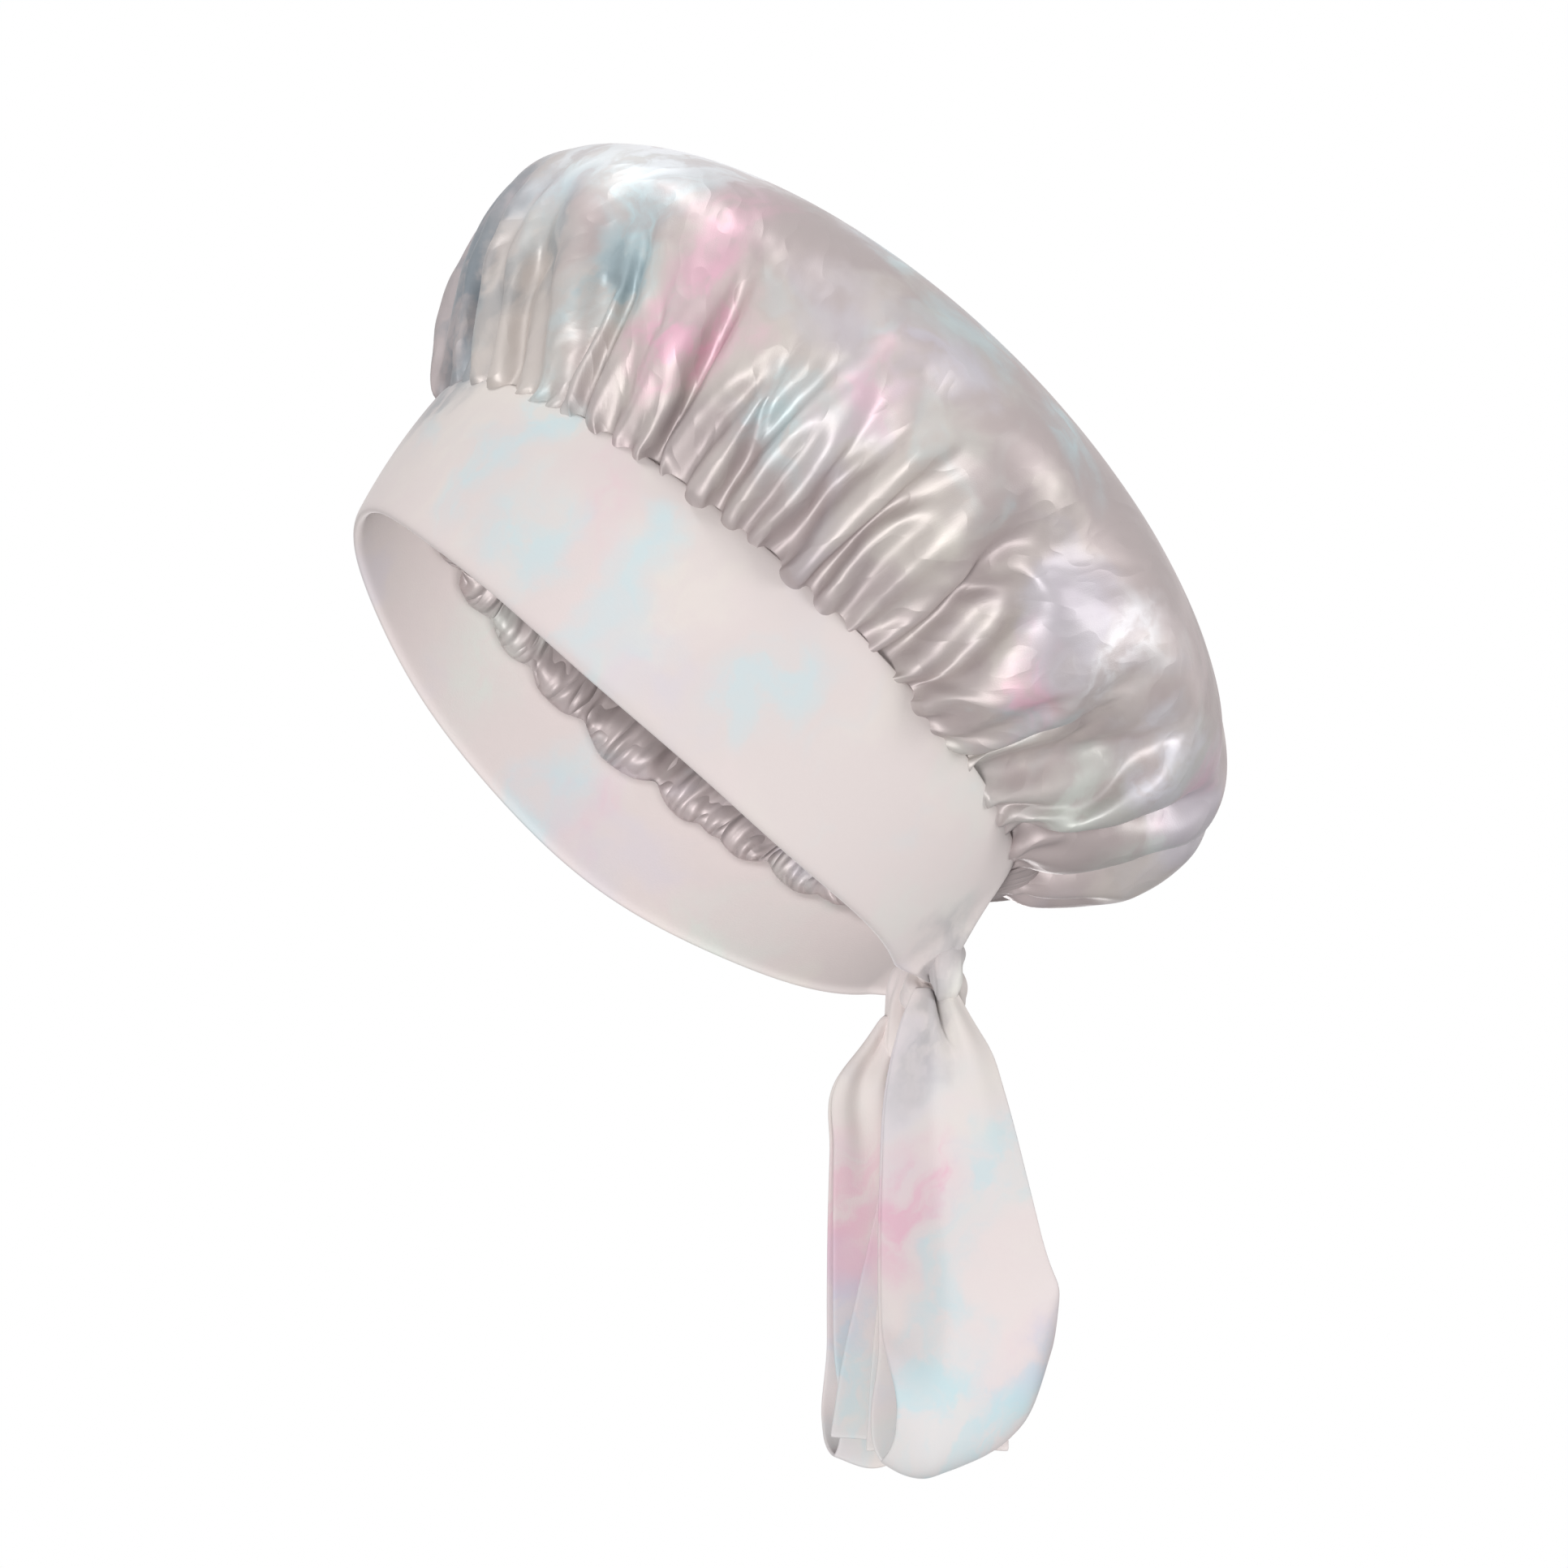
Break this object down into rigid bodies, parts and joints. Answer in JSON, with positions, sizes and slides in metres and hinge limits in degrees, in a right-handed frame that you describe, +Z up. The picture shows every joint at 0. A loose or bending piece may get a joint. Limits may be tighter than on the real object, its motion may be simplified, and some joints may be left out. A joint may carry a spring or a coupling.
{
  "type": "hair bonnet",
  "caption": "Satin sleep bonnet with a full gathered crown and lining, a wide folded jersey band and ties knotted in a hanging bow at the nape.",
  "frame": {"origin": "middle of the head opening, at the band's lower edge", "axes": "+Z up as worn, -Y towards the forehead, +X towards the wearer's left"},
  "size_m": [0.2319, 0.2465, 0.3745],
  "materials": {
    "crown_satin": "glossy satin, pastel tie-dye",
    "lining_satin": "glossy satin, pastel tie-dye",
    "band_jersey": "matt smooth knit, pastel tie-dye",
    "tie_jersey": "matt smooth knit, pastel tie-dye",
    "elastic": "woven elastic tape",
    "thread": "spun polyester thread"
  },
  "bodies": {
    "bonnet": {"crown_outer": "crown_satin", "crown_lining": "lining_satin", "headband": "band_jersey", "hem_elastic": "elastic", "seam_thread": "thread", "nape_casing": "crown_satin", "left_strand": "tie_jersey", "right_strand": "tie_jersey"},
    "left_loop": {"left_bow_loop": "tie_jersey"},
    "right_loop": {"right_bow_loop": "tie_jersey"},
    "left_end": {"left_tie_end": "tie_jersey"},
    "right_end": {"right_tie_end": "tie_jersey"}
  },
  "joints": [
    {"name": "left_loop_swing", "type": "hinge", "parent": "bonnet", "child": "left_loop", "pos_m": [0.0148, 0.09237, -0.07196], "axis": [1, 0, 0], "range_deg": [-60, 60]},
    {"name": "right_loop_swing", "type": "hinge", "parent": "bonnet", "child": "right_loop", "pos_m": [-0.0148, 0.08237, -0.07196], "axis": [1, 0, 0], "range_deg": [-60, 60]},
    {"name": "left_end_swing", "type": "hinge", "parent": "bonnet", "child": "left_end", "pos_m": [0.00412, 0.09069, -0.08232], "axis": [1, 0, 0], "range_deg": [-60, 60]},
    {"name": "right_end_swing", "type": "hinge", "parent": "bonnet", "child": "right_end", "pos_m": [-0.00412, 0.08406, -0.08232], "axis": [1, 0, 0], "range_deg": [-60, 60]}
  ]
}
